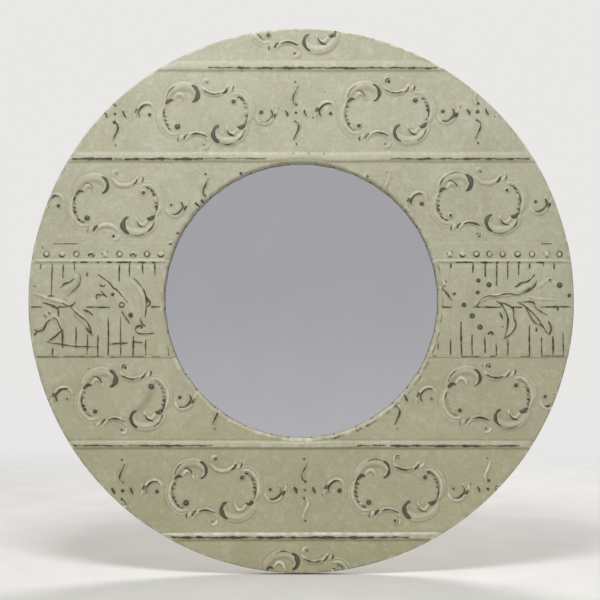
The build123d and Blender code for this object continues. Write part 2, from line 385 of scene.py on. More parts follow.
# %% Half of the cross between two cartouches
cross_rolls = [
    ([(4, 48), (1, 38), (-5, 24), (-3, 14), (3, 14)], 7, 1.2),
    ([(-1, 53)], 6, 0.8),
    ([(-22, 5), (-15, 2), (-13, -7)], 7, 1.1),
    ([(-31, 9), (-34, -1), (-38, -10)], 7, 1.0),
    ([(-42, 8), (-38, -3), (-42, -13), (-52, -18), (-62, -15), (-67, -6)], 9, 1.4),
    ([(-58, 1)], 8, 1.3),
]
cross_wear = [
    ([(4, 46), (0, 36), (-4, 28), (-5, 20), (-2, 14.5), (2, 14)], 1.05),
    ([(-1, 54), (-1, 50)], 1.3),
    ([(-19, 5), (-15, 1), (-13.5, -6)], 1.6),
    ([(-29, 8)], 0.9),
    ([(-33, -1), (-35, -5), (-37, -9)], 1.5),
    ([(-42, 6), (-39.5, 1), (-39.5, -4), (-43, -10), (-51, -15.5), (-60, -15)], 1.4),
    ([(-58, 1)], 2.6),
    ([(1, 14)], 2.0),
    ([(0, 0)], 2.2),
]
print("half a cross has", len(cross_rolls), "rolls and", len(cross_wear), "worn lines")

# %% Repeat a half, turned round its middle
def ornament(sheet, rolls, worn, middle, seed):
    """Presses a half and the same half turned round, each with its own luck in how it wore."""
    dice = np.random.default_rng(seed)
    for side in (1, -1):
        for points, width, rise in rolls:
            moved = [(middle[0] + side * x, middle[1] + side * z) for x, z in points]
            sheet.press(moved, width, rise)
        for points, half_width in worn:
            moved = [(middle[0] + side * x, middle[1] + side * z) for x, z in points]
            if half_width < 0.8 and dice.random() < 0.5:
                continue  # half of the finest lines keep their paint
            if half_width < 1.3 and dice.random() < 0.22:
                sheet.tint(moved, 6, dice.uniform(0.5, 1.0))
            else:
                most = 1.1 if half_width > 3 else 1.4  # a broad spot varies less
                sheet.wear(moved, half_width * dice.uniform(0.8, most))


def notched_edge(sheet, middle, seed):
    """The inner edge of each C: a worn line in broken lengths, with ticks about 7 mm apart."""
    dice = np.random.default_rng(seed + 900)
    for side in (1, -1):
        spine = curve([(-67, 16), (-70, 2), (-69, -10), (-65, -19), (-60, -26), (-51, -30)])
        bounds = np.linspace(0, len(spine) - 1, 8).astype(int)
        for a, b in zip(bounds, bounds[1:]):
            half_width = dice.uniform(-0.2, 1.5)
            if half_width > 0.35:
                run = side * spine[[a, (a + b) // 2, min(b + 1, len(spine) - 1)]] + middle
                sheet.wear(run, half_width, taper=0.4)
        for place in spine[3:-2:6]:
            inward = -place / np.hypot(*place)
            ends = [place - inward, place + 1.5 * inward + (0, -0.3), place + 4.5 * inward + (0, -2.2)]
            ends = side * np.array(ends) + middle
            sheet.press(ends, 4.0, 0.8)
            if dice.random() < 0.75:
                sheet.wear(ends, dice.uniform(0.5, 1.35), taper=0.5)


print("ornament repeats about its middle")

# %% [markdown]
# ## Cutting a round sheet from a square grid
#
# A grid is square and the ring is round, so the cells on the two circles are cut: a cut cell keeps
# its corners that lie inside, and gets a new point where each of its edges meets the circle. Those
# new points then carry the folds. Outside, the tin rolls over the board's edge and turns behind it
# as a flange with V cuts; inside, it turns back as forty flat tabs. A last thin band along every
# free edge gives the sheet its thickness for far fewer faces than doubling the whole skin.

# %% Where the tin lies, in millimetres from the middle and from the wall
sheet_outer = -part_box("tin_lower_sheet")[0].z / MM
frieze_outer = -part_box("tin_frieze_left")[0].x / MM
sheet_inner, frieze_inner = 230.6, 230.0  # the tabs of a frieze lie inside those of its neighbours
board_front, board_back = (round(corner.y / MM, 3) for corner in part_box("ring_board"))
tin_thickness = 0.5
sheet_face = board_front - tin_thickness
lap = 0.6  # a frieze lies this far over its neighbours
outer_bend, inner_bend, back_bend = 3.0, 4.8, 1.0  # radii of the three turns
tab_end = board_back - 1.0
print("outer radius", round(sheet_outer, 2), "and", round(frieze_outer, 2), "mm")

# %% Where the folds are cut, in millimetres and degrees
tab_count, notch_count = 40, 24
tab_angle = 360 / tab_count
slit_half = 0.6  # half the width of the slit between two tabs
notch_start, notch_depth, notch_half = 2.6, 9.8, 2.5  # a V cut's root, depth and half width
# the slits were cut by eye, so they are not quite evenly spaced
slits = np.array([tab_angle * (n + 0.5) + 1.3 * math.sin(5.1 * n * n) for n in range(tab_count)])
notches = np.array([360 / notch_count * n for n in range(notch_count)])
# how strongly each part of the folds takes chips, a darker olive and painted glints, from 0 to 1
fold_marks_and_glints = {"face": 1.0, "wall": 0.55, "flange": 0.35, "lip": 0.95, "tab": 0.9}
print("a tab is", round(2 * math.pi * sheet_inner / tab_count, 1), "mm wide")

# %% The folds, as a radius and a depth for each ring of points
bend_steps = np.radians([18, 38, 58, 76, 90])


def outer_fold(radius, face, lift):
    """From the face round the edge and behind the board."""
    start, back = face + outer_bend, board_back + lift + tin_thickness
    rings = [(radius - outer_bend + outer_bend * math.sin(a), start - outer_bend * math.cos(a), "face")
             for a in bend_steps]
    eased = 0.3 * back_bend
    rings += [(radius, (start + back) / 2, "wall"), (radius, back - back_bend, "wall")]
    rings += [(radius - eased, back - eased, "wall"), (radius - back_bend, back, "wall")]
    return rings + [(radius - notch_start - notch_depth * s, back, "flange") for s in (0, 0.33, 0.67, 1.0)]


def tab_fold(radius, face):
    """From the face back into the opening."""
    rings = [(radius + inner_bend - inner_bend * math.sin(a), face + inner_bend - inner_bend * math.cos(a),
              "tab" if a == bend_steps[-1] else "lip") for a in bend_steps]
    return rings + [(radius, (face + tab_end) / 2, "tab"), (radius, tab_end, "tab")]


print("the outer fold has", len(outer_fold(sheet_outer, sheet_face, 0)), "rings of points")

# %% Cut the grid to the ring
def cut_to_ring(sheet, inner, outer):
    """Points and faces of the grid between two circles, and the points that lie on each circle."""
    x, z = sheet.x, sheet.z
    radius = np.hypot(x, z)
    inside = (radius > inner) & (radius < outer)
    number = np.full(x.shape, -1)
    number[inside] = np.arange(inside.sum())
    fields = (sheet.rise, sheet.side, sheet.half, sheet.low, sheet.stain)
    points = list(zip(x[inside], z[inside], *(field[inside] for field in fields)))
    whole = inside[:-1, :-1] & inside[1:, :-1] & inside[:-1, 1:] & inside[1:, 1:]
    rows, columns = np.nonzero(whole)
    faces = np.stack([number[rows, columns], number[rows, columns + 1],
                      number[rows + 1, columns + 1], number[rows + 1, columns]], 1).tolist()
    mixed = (inside[:-1, :-1] | inside[1:, :-1] | inside[:-1, 1:] | inside[1:, 1:]) & ~whole
    rims = {inner: {}, outer: {}}
    for r, c in zip(*np.nonzero(mixed)):
        corners = [(r, c), (r, c + 1), (r + 1, c + 1), (r + 1, c)]
        loop = []
        for here, after in zip(corners, corners[1:] + corners[:1]):
            if inside[here]:
                loop.append(int(number[here]))
            if inside[here] == inside[after]:
                continue
            a, b = (here, after) if inside[here] else (after, here)
            rim = outer if radius[b] >= outer else inner
            key = (a, b)
            if key not in rims[rim]:
                dx, dz = x[b] - x[a], z[b] - z[a]
                half = x[a] * dx + z[a] * dz
                span = dx * dx + dz * dz
                root = math.sqrt(max(0.0, half * half - span * (radius[a] ** 2 - rim * rim)))
                t = (-half + root) / span if rim == outer else (-half - root) / span
                rims[rim][key] = len(points)
                points.append((x[a] + t * dx, z[a] + t * dz, *(field[a] for field in fields)))
            loop.append(rims[rim][key])
        if len(loop) > 2:
            faces.append(loop)
    return points, faces, list(rims[inner].values()), list(rims[outer].values())


sample = cut_to_ring(Sheet(low=-5, high=5, left=-5, right=5, step=1), 1.5, 4.5)
print("a ring cut from a grid of 100 cells has", len(sample[1]), "faces")

# %% Where each point of a fold goes
def part_at(angle, radius, cuts, half_width):
    """Moves a point away from the middle of the nearest cut, so that the cut's sides are clean."""
    cut = cuts[np.argmin(np.abs((cuts - angle + 180) % 360 - 180))]
    off = (angle - cut + 180) % 360 - 180
    need = math.degrees(half_width / radius)
    reach = need * 3 + 0.2
    if abs(off) < reach:
        off = math.copysign(need + abs(off) * (reach - need) / reach, off)
    return cut + off


def fold_point(angle, radius, zone, inner, outer):
    """The radius and angle of a point: tabs are flat, the edge turned by hand waves a little."""
    if zone in ("lip", "tab"):
        middle = (angle + tab_angle / 2) // tab_angle * tab_angle
        flat = radius * math.cos(math.radians(tab_angle / 2)) / math.cos(math.radians(angle - middle)) + 0.5
        here = radius + (flat - radius) * (inner + inner_bend - radius) / inner_bend
        return here, part_at(angle, radius, slits, slit_half) if zone == "tab" else angle
    wave = 0.25 + 0.14 * math.sin(math.radians(7 * angle + 40)) + 0.1 * math.sin(math.radians(23 * angle))
    wide = notch_half * max(0.0, (outer - notch_start - radius) / notch_depth) if zone == "flange" else 0
    return radius - wave, part_at(angle, radius, notches, wide) if wide else angle


print("a slit is", 2 * slit_half, "mm wide")

# %% Give every free edge its thickness
def turn_edges_in(mesh):
    """Adds a band one sheet thick along every free edge, on the hidden side."""
    shape = bmesh.new()
    shape.from_mesh(mesh)
    bmesh.ops.recalc_face_normals(shape, faces=shape.faces)
    front = max(shape.faces, key=lambda f: f.calc_area() * (f.calc_center_median().y < board_front * MM))
    if front.normal.y > 0:
        bmesh.ops.reverse_faces(shape, faces=shape.faces)
    shape.normal_update()
    free = [e for e in shape.edges if e.is_boundary]
    normals = {v: v.normal.copy() for e in free for v in e.verts}
    made = bmesh.ops.extrude_edge_only(shape, edges=free)["geom"]
    for v in made:
        if isinstance(v, bmesh.types.BMVert):
            source = min((e.other_vert(v) for e in v.link_edges), key=lambda w: (w.co - v.co).length)
            v.co -= normals.get(source, source.normal) * tin_thickness * MM
    shape.to_mesh(mesh)
    shape.free()


print("free edges get a band", tin_thickness, "mm wide")

# %% Build one sheet
def build_sheet(name, sheet, face, inner, outer, lift):
    """The whole skin of one sheet: face, outer fold, flange, tabs and its cut edges."""
    face_outer, face_inner = outer - outer_bend, inner + inner_bend
    points, faces, inner_rim, outer_rim = cut_to_ring(sheet, face_inner, face_outer)
    spots = [(x, face - rise, z) for x, z, rise, *_ in points]
    marks = {label: [p[n] for p in points] for n, label in enumerate(("side", "half", "low", "stain"), 3)}
    marks["edge"] = [max(0.0, 1 - (face_outer - reach) / 5, 1 - (reach - face_inner) / 4)
                     for reach in (math.hypot(*p[:2]) for p in points)]
    for rim, rings in ((inner_rim, tab_fold(inner, face)), (outer_rim, outer_fold(outer, face, lift))):
        chain = sorted(rim, key=lambda n: math.atan2(points[n][1], points[n][0]) % (2 * math.pi))
        angles = [math.degrees(math.atan2(points[n][1], points[n][0])) % 360 for n in chain]
        before = chain
        for count, (radius, depth, zone) in enumerate(rings):
            ring = range(len(spots), len(spots) + len(chain))
            for n, angle in zip(chain, angles):
                here, turn = fold_point(angle, radius, zone, inner, outer)
                turn = math.radians(turn)
                spots.append((here * math.cos(turn), depth, here * math.sin(turn)))
                for label in ("side", "half", "low", "stain"):
                    fade = 0.4 * (count + 1) if label == "half" and zone != "face" else 0
                    marks[label].append(marks[label][n] - fade)  # worn lines run out on the folds
                marks["edge"].append(fold_marks_and_glints[zone])
            cuts = {"tab": slits, "flange": notches}.get(zone)
            parted = cuts is not None and radius < outer - notch_start
            for n in range(len(chain)):
                after = (n + 1) % len(chain)
                gap = (angles[after] - angles[n]) % 360
                if gap > 3:
                    continue  # the two ends of a sheet are far apart
                if parted and np.any((cuts - angles[n]) % 360 < gap):
                    continue
                quad = [before[n], before[after], ring[after], ring[n]]
                faces.append(quad if rim is outer_rim else quad[::-1])
            before = ring
    mesh = bpy.data.meshes.new(name)
    mesh.from_pydata([tuple(c * MM for c in s) for s in spots], [], faces)
    for label, values in marks.items():
        mesh.attributes.new(label, "FLOAT", "POINT").data.foreach_set("value", np.array(values, np.float32))
    turn_edges_in(mesh)
    mesh.shade_smooth()
    return put(name, mesh)


print("sheets are cut, folded and edged by one function")

# %% [markdown]
# ## Dents, grime and painted shade
#
# Stamped tin is never flat again once it has hung on a ceiling for decades. Broad shallow dents
# are added to the grid, and its hollows are darkened, partly as dirt and thinned paint and partly
# as painted shade. A hollow is found by comparing the height of each point with the average height
# around it, which needs only sums.

# %% Hollows from the average height around each point
def blurred(values, cells):
    """The average over a square of points, by running sums."""
    size = 2 * cells + 1
    for turn in (0, 1):
        padded = np.pad(values, [(cells + 1, cells) if n == turn else (0, 0) for n in (0, 1)], mode="edge")
        sums = np.cumsum(padded, axis=turn)
        if turn:
            values = (sums[:, size:] - sums[:, :-size]) / size
        else:
            values = (sums[size:] - sums[:-size]) / size
    return values


hollow_reach = 2.5
print("hollows are found within", hollow_reach, "mm")

# %% Dents, and a calm edge at the folds and laps
calm_outer, calm_inner = 452.5, 235.5  # where the folds begin, in millimetres from the middle
dents_in_tin = ((70, 0.2), (24, 0.09), (9, 0.03))  # how far apart and how deep, in millimetres


def settle(sheet, seed, rise_limit, flat_below=-math.inf, flat_above=math.inf):
    """Adds dents, keeps the folds and laps flat, and marks the hollows."""
    x, z = sheet.x, sheet.z
    hollow = blurred(sheet.rise, max(1, round(hollow_reach / sheet.step))) - sheet.rise
    # hollows are darkened and humps lightened, and the ridges' painted shade and highlight are added
    sheet.low = np.clip(hollow / 0.45 + sheet.grime_and_painted_light, -1, 1)
    dents = sum(deep * ripple(x, z, size, seed + n) for n, (size, deep) in enumerate(dents_in_tin))
    sheet.rise = sheet.rise + np.clip(dents, -0.5, 0.5)
    radius = np.hypot(x, z)
    calm = np.clip((calm_outer - radius) / 5, 0, 1) * np.clip((radius - calm_inner) / 4, 0, 1)
    calm = calm * np.clip((z - flat_below) / 3, 0, 1) * np.clip((flat_above - z) / 3, 0, 1)
    sheet.rise = np.minimum(sheet.rise * calm, rise_limit)
    sheet.half = np.where(calm > 0, sheet.half, -6)


print("dents are at most 0.5 mm deep")

# %% [markdown]
# ## The four sheets
#
# The upper and lower sheets come from one pattern: rows of ornament between straight ridges. The
# two sheets beside the glass come from another, an old frieze of reeds, beads, leaves and berries,
# and they lie over the first two. Drawing each sheet is then a list of what is pressed where.

# %% Straight ridges between the rows
ridge_foot = 5.6  # a ridge falls to the ground this far below its crest


def arc(x, z, radius, start, end):
    """Points on part of a circle, by degrees from the right."""
    turn = np.radians(np.linspace(start, end, 9))
    return [(x + radius * math.cos(a), z + radius * math.sin(a)) for a in turn]


def straight_ridge(sheet, height, rise, above, worn, seed, shoulder=1.15):
    """A ridge right across with a broken worn line; a low shoulder number makes its top edge steep."""
    crest = height + 0.35 * ripple(sheet.x, sheet.z * 0, 160, seed)
    off = sheet.z - crest
    fall = np.clip(1 - (off / np.where(off > 0, above, ridge_foot)) ** 2, 0, 1)
    sheet.rise = np.maximum(sheet.rise, rise * fall ** np.where(off > 0, shoulder, 1.15))
    # painted shade: a darker strip just under the crest, on the slope that faces down
    sheet.grime_and_painted_light = np.maximum(sheet.grime_and_painted_light, np.clip(1 - np.abs(off + 4.4) / 3.4, 0, 1))
    # below nought along the top edge, which makes a painted highlight there
    sheet.grime_and_painted_light = sheet.grime_and_painted_light - np.clip(1.2 - np.abs(off - above + 1) / 3, 0, 1)  # no grime on the top edge
    dice = np.random.default_rng(seed)
    for start, end, half_width in worn:
        places = np.linspace(start, end, max(2, int((end - start) / 9)) + 1)
        for a, b in zip(places, places[1:]):
            low = height - 0.6 * half_width + 0.5
            sheet.wear([(a - 1.5, low + dice.uniform(-0.7, 0.7)), (b + 1.5, low + dice.uniform(-0.7, 0.7))],
                       half_width * dice.uniform(0.35, 1.4), taper=0.6)


def rows(sheet, cartouches, crosses, seed):
    """Presses every cartouche and cross of a sheet, each with its own seed."""
    for n, middle in enumerate(cartouches):
        ornament(sheet, cartouche_rolls, cartouche_wear, middle, seed + n)
        notched_edge(sheet, middle, seed + n)
    for n, middle in enumerate(crosses):
        ornament(sheet, cross_rolls, cross_wear, middle, seed + 20 + n)


bend_start = 236.6  # where the tin starts to bend into the opening
print("a ridge falls to the ground within", ridge_foot, "mm below its crest")

# %% Upper sheet
upper = Sheet(low=85.5, high=456.5, left=-456.5, right=456.5, step=1.6)
rows(upper, [(-160, 312.7), (143.5, 314.5), (-311, 160), (297, 164), (-8, 466)],
     [(-9, 314.4), (-311.6, 312.5), (295, 316), (-159, 160), (144, 163.6), (-464, 160), (450, 165)], 10)
straight_ridge(upper, 389.8, 1.5, 13, [(-155, -105, 0.8), (-105, 226, 1.5)], 50)
straight_ridge(upper, 237.8, 1.6, 11, [(-385, -318, 1.9), (-312, -300, 1.5), (-294, -252, 2.1),
                                       (-250, -165, 1.7), (-160, -60, 0.7), (150, 390, 1.3)], 51)
for x, z in [(-13, 246.6), (12.7, 246.1), (38, 246.1), (39.8, 349.5), (-99, 384.5)]:
    upper.wear([(x, z)], 1.0)
for angle, half_width in ((62, 0.9), (115.4, 1.1), (134.8, 1.3), (151.3, 0.9)):  # rubbed places on the bend
    upper.wear(arc(0, 0, bend_start, angle - 0.6, angle + 0.6), half_width)
settle(upper, 60, 3.15, flat_below=98.5)
upper_piece = build_sheet("pressed_tin_upper", upper, sheet_face, sheet_inner, sheet_outer, 0.0)
print("upper sheet has", len(upper_piece.data.polygons), "faces")

# %% Lower sheet
lower = Sheet(low=-456.5, high=-82.9, left=-456.5, right=456.5, step=1.6)
rows(lower, [(-297.5, -164), (312, -162), (-146, -317), (160, -316), (7, -470)],
     [(-145, -162.6), (160, -162.6), (-450, -162.6), (466, -161), (-299, -318), (6, -316.5),
      (312.5, -315)], 110)
straight_ridge(lower, -242.0, 2.4, 8.5, [(-390, -150, 1.2), (95, 140, 0.8), (150, 365, 1.5)], 150, 0.7)
straight_ridge(lower, -395.4, 2.4, 8, [(-220, 120, 1.4), (120, 180, 0.8)], 151, 0.7)
for x, z in [(-337, -230), (-356, -113), (302.6, -109)]:
    lower.wear([(x, z)], 1.0)
lower.tint([(-250, -152), (-256, -164), (-270, -182)], 7, 0.9, "grime_and_painted_light")
dice = np.random.default_rng(170)
start = -78.0
while start < -26:  # a broken worn line along the bend
    run = dice.uniform(2, 7)
    lower.wear(arc(0, 0, bend_start + 0.3, start, start + run), dice.uniform(0.1, 0.5), taper=0.6)
    if dice.random() < 0.25:
        lower.wear(arc(0, 0, bend_start + 0.3, start, start + 0.6), 1.0)
    start += run + dice.uniform(1, 5)
settle(lower, 160, 3.15, flat_above=-96)
lower_piece = build_sheet("pressed_tin_lower", lower, sheet_face, sheet_inner, sheet_outer, 0.0)
print("lower sheet has", len(lower_piece.data.polygons), "faces")

# %% Beads, each worn in its own way
bead_wear = {  # parts of a ring: start, end and half width
    "ring": [(-90, 90, 0.85), (90, 270, 0.85)],
    "deep": [(10, 170, 0.7), (175, 365, 1.2)],
    "cup": [(185, 350, 1.1)],
    "blob": [(180, 230, 1.2), (290, 350, 1.4)],
    "faint": [(20, 70, 0.6), (150, 190, 0.6), (240, 300, 0.8)],
}


def bead(sheet, x, z, kind, radius=5.1):
    """A raised bead with what is left of the dark ring round it."""
    sheet.press([(x, z)], 2.2 * radius, 1.45)
    for start, end, half_width in bead_wear[kind]:
        sheet.wear(arc(x, z, radius, start, end), half_width, taper=0.5)
    if kind == "blob":
        sheet.wear([(x - 3.2, z), (x + 3.2, z + 0.6)], 2.0)


print("a bead wears in", len(bead_wear), "ways")

# %% The frieze: reeds, beads and a ridge
reed_pitch = 19.15
bead_row, small_ridge, dark_line, middle_height = 78, 67, 64.2, -10.4


def frieze_ground(sheet, beads, dark, upper_reeds, lower_reeds, middle_line, seed):
    """What both friezes share: a row of beads, a small ridge and a ground of fine upright reeds."""
    dice = np.random.default_rng(seed)
    first = lower_reeds[0][0] % reed_pitch
    panel = np.abs(((sheet.x - first) / reed_pitch) % 1 - 0.5) * 2
    within = np.clip((60 - sheet.z) / 4, 0, 1) * np.clip((sheet.z + 92) / 4, 0, 1)
    sheet.rise = np.maximum(sheet.rise, 0.7 * (1 - panel**3) * within)
    for n in range(-26, 27):
        x = first + reed_pitch * n
        sheet.press([(x, 58), (x, -90)], 3.4, 0.5, taper=1.0)
    for x, kind in beads:
        bead(sheet, x, bead_row, kind)
    off = np.abs(sheet.z - small_ridge)
    sheet.rise = np.maximum(sheet.rise, 1.3 * np.clip(1 - (off / 3.5) ** 2, 0, 1))
    for a, b in dark:
        sheet.wear([(a, dark_line), (b, dark_line + dice.uniform(-0.5, 0.5))], 1.25, taper=0.5)
    for x, top, bottom in upper_reeds + lower_reeds:
        lean = dice.uniform(-1.2, 1.2)
        bow = dice.uniform(-0.8, 0.8)
        sheet.wear([(x - lean / 2, top), (x + bow, (top + bottom) / 2), (x + lean / 2, bottom)],
                   dice.uniform(0.8, 1.4), taper=0.5)
    for a, b in middle_line:
        sheet.press([(a, middle_height), (b, middle_height)], 4, 0.6, taper=0.8)
        sheet.wear([(a, middle_height), (b, middle_height + dice.uniform(-0.8, 0.8))], 1.2, taper=0.5)


print("the frieze has a reed every", reed_pitch, "mm")

# %% The frieze: leaves, stems and berries
def sprig(sheet, lines, width, rise, seed):
    """Leaf and stem lines of the frieze, each raised and rubbed along its crest."""
    dice = np.random.default_rng(seed)
    for points in lines:
        sheet.press(points, width, rise)
        sheet.wear(points, dice.uniform(0.95, 1.5))


def bodies(sheet, forms):
    """The broad soft bodies that the leaf lines lie on."""
    for points, width, rise in forms:
        sheet.press(points, width, rise, taper=0.25)


def berries(sheet, places):
    """Round berries: a dark spot where the top is worn through, or a worn ring like a bead's."""
    for x, z, wear in places:
        if isinstance(wear, str):
            bead(sheet, x, z, wear, 4.6)
        else:
            sheet.press([(x, z)], 11, 1.7)
            sheet.wear([(x, z)], 1.05 * wear)
            sheet.wear([(x - wear, z - 0.4 * wear), (x + 0.3 * wear, z - wear)], 0.7)


def level_lines(sheet, runs, half_width):
    """Worn lines along the long edges of a frieze."""
    for a, b, height in runs:
        sheet.wear([(a, height), (b, height)], half_width, taper=0.6)


print("a berry is 11 mm across")

# %% Left frieze
left = Sheet(low=-94.9, high=97.5, left=-457, right=-160, step=0.85)
frieze_ground(left, [(-426, "deep"), (-400, "cup"), (-376, "ring"), (-351, "blob"), (-328, "faint"),
                     (-304, "ring"), (-281, "blob"), (-258, "ring"), (-235, "cup")],
              [(-382, -377), (-369, -357), (-342, -338), (-325, -316), (-309, -285), (-273, -260),
               (-250, -244)],
              [(-436, 62, 53), (-417, 62, 9), (-398, 62, 38), (-379, 63, 51), (-304, 63, 32), (-287, 63, 40),
               (-265, 63, 45), (-245, 63, 42)],
              [(-416, -79, -93), (-399, -47, -79), (-377, -44, -77), (-358, -56, -91), (-340, -57, -92),
               (-323, -27, -92), (-302, -28, -92), (-281, -59, -92), (-260, -64, -92), (-222, -62, -92)],
              [(-453, -434), (-407, -392), (-359, -320), (-251, -233)], 70)
bodies(left, [
    ([(-385, -12), (-368, -28), (-354, -48), (-349, -60)], 17, 2.0),
    ([(-403, 20), (-388, 22), (-374, 44)], 17, 1.9),
    ([(-340, 40), (-312, 14), (-285, -18), (-262, -50)], 28, 1.6),
    ([(-452, 14), (-428, 6), (-404, -1), (-386, -7)], 10, 1.8),
    ([(-285, 34), (-268, 14), (-262, -10), (-265, -26)], 13, 1.7),
    ([(-446, -46), (-430, -40), (-415, -26), (-405, -40), (-398, -78)], 13, 1.7),
])
sprig(left, [
    [(-426, -69), (-399, -73), (-377, -76), (-342, -77)],
    [(-322, -72), (-302, -71), (-290, -71)],
    [(-281, -68), (-266, -70)],
    [(-424, 8), (-413, 8)],
    [(-358, 48), (-358, 41)],
    [(-446, 26), (-445, 23)],
    [(-441, -51), (-447, -58)],
    [(-423, -18), (-420, -23)],
    [(-405, 22), (-401, 22), (-396, 29), (-387, 31), (-379, 38)],
    [(-371, 46), (-369, 38), (-372, 26), (-381, 17), (-391, 8)],
    [(-433, -3), (-418, -7), (-407, -14), (-406, -27)],
    [(-400, -3), (-387, -9), (-377, -2)],
    [(-387, -9), (-372, -24), (-359, -34), (-352, -48), (-349, -59)],
    [(-360, -44), (-355, -51), (-350, -57)],
    [(-365, -15), (-355, -18), (-348, -25)],
    [(-417, -28), (-409, -31), (-404, -42), (-401, -50), (-399, -79)],
    [(-401, -50), (-413, -61), (-426, -69)],
    [(-446, -48), (-441, -51), (-431, -48), (-426, -37), (-419, -31)],
    [(-430, -22), (-426, -28)],
    [(-341, 45), (-331, 38), (-320, 30), (-314, 21), (-309, 19), (-290, -3)],
    [(-300, -18), (-286, -39)],
    [(-335, 17), (-325, 6)],
    [(-342, 2), (-342, 10), (-327, 9)],
    [(-280, 38), (-266, 23), (-260, 8), (-259, -9), (-261, -27)],
    [(-260, 8), (-252, -5), (-258, -10)],
    [(-270, -27), (-267, -36), (-261, -43)],
    [(-276, -42), (-277, -49), (-273, -54), (-257, -55), (-246, -54)],
], 7, 1.5, 71)
berries(left, [(-332, 28, "cup"), (-315, 11, 3.2), (-300, -7, "deep"), (-285, -24, 3.8),
               (-270, -42, "blob")])
level_lines(left, [(-415, -373, 95.4), (-221, -213, 95.4), (-446, -404, -93.6), (-398, -330, -93.4),
                   (-322, -262, -93.6), (-250, -236, -93.4)], 0.5)
left.wear([(-223, 94), (-218, 95), (-214, 87)], 0.7)
left.wear([(-435, 92), (-431, 87)], 0.8)
left.tint([(-345, 38), (-340, 30)], 9, 0.8)
settle(left, 73, 2.5)
left_piece = build_sheet("pressed_tin_frieze_left", left, sheet_face - lap, frieze_inner, frieze_outer,
                         lap)
print("left frieze has", len(left_piece.data.polygons), "faces")

# %% Right frieze
right = Sheet(low=-94.9, high=97.5, left=160, right=457, step=0.85)
frieze_ground(right, [(249, "faint"), (270, "cup"), (293, "deep"), (315, "ring"), (337, "ring"),
                      (362, "deep"), (386, "ring"), (411, "faint"), (432, "ring")],
              [(259, 287), (300, 320), (326, 330), (344, 347), (362, 367), (393, 406)],
              [(250, 63, 55), (287, 63, 47), (308, 62, 40), (327, 63, 25), (345, 63, 36), (364, 63, 43),
               (382, 63, 53), (405, 65, 58), (423, 63, 52)],
              [(250, -64, -92), (268, -35, -92), (286, -56, -92), (307, -61, -87), (326, -71, -91),
               (345, -64, -92), (382, -40, -92), (402, -61, -92), (421, -59, -92), (438, -52, -92)],
              [(234, 252), (287, 334), (354, 369), (400, 452)], 80)
bodies(right, [
    ([(330, -2), (348, -22), (353, -45), (339, -64)], 18, 2.0),
    ([(370, -6), (392, -24), (412, -54)], 20, 2.0),
    ([(358, 14), (378, 24), (392, 42)], 17, 1.9),
    ([(236, 36), (256, 12), (280, -18), (310, -54)], 26, 1.6),
    ([(287, -9), (312, 6), (345, 10), (372, 12)], 10, 1.8),
    ([(372, 12), (393, 4), (430, 2)], 8, 1.4),
    ([(390, 19), (412, 35), (420, 38)], 12, 1.4),
    ([(418, 36), (436, 20), (446, 8)], 13, 1.5),
])
sprig(right, [
    [(233, 24), (242, 14), (252, 0)],
    [(287, -11), (295, -7), (300, 2), (311, 8), (326, 8), (345, 12), (361, 10), (369, 13), (382, 22)],
    [(356, 24), (361, 24), (367, 30), (380, 33), (391, 44)],
    [(394, 36), (390, 25), (380, 17), (369, 10)],
    [(326, 0), (337, -9), (345, -27), (345, -42), (340, -63)],
    [(329, -2), (341, -5), (354, -13), (355, -27), (359, -40), (352, -54), (337, -65)],
    [(332, -18), (337, -31)],
    [(361, -2), (374, -9), (393, -27), (412, -55)],
    [(374, -9), (382, -24), (391, -37), (402, -42), (412, -55)],
    [(363, -2), (387, -2), (393, -13), (412, -24)],
    [(413, -33), (418, -46), (414, -58)],
    [(429, -10), (429, -17)],
    [(393, -44), (393, -52)],
], 7, 1.5, 81)
berries(right, [(256, 12, 3.2), (272, -7, 3.6), (286, -25, 4.3), (299, -44, 4.6), (317, -53, "blob"),
                (239, 29, "faint"), (296, 34, 2.9), (314, 27, 3.4), (295, 14, 2.7), (416, 35, 1.7),
                (432, 26, 4.6), (448, 9, 2.6)])
level_lines(right, [(220, 227, -92.5), (268, 300, -93.4), (316, 326, -93.0), (366, 383, -93.2),
                    (402, 440, -92.6), (401, 420, 95.4)], 0.65)
right.wear([(229, -69), (229, -82)], 0.7)
right.wear([(334, -44), (339, -43)], 0.8)
for angle in (-22, -17, -9, -3, 4, 11):
    right.wear(arc(0, 0, bend_start, angle, angle + 4), 0.4, taper=0.6)
settle(right, 83, 2.5)
right_piece = build_sheet("pressed_tin_frieze_right", right, sheet_face - lap, frieze_inner, frieze_outer,
                          lap)
print("right frieze has", len(right_piece.data.polygons), "faces")

# %% [markdown]
# ## Brushed oil paint over dark tin
#
# The sheets wear several coats of cream oil paint, gone matt and a little green with age. Under it
# the tin has turned nearly black. Rubbing shows it along the raised lines, so one mask, made from
# the distances stored on the grid and broken by fine noise, chooses between the two finishes.
# Slow noise drifts the cream towards pink and green, hollows are darker with grime and painted
# shade, raised crests get a painted highlight, and a bump gives the paint its brushed skin and a
# small step at each chip.

# %% The cream, and how it drifts
tin, tree, place = material("oil_painted_tin_worn")
mark = {label: add(tree, "Attribute", attribute_name=label).outputs["Fac"]
        for label in ("side", "half", "low", "stain", "edge")}
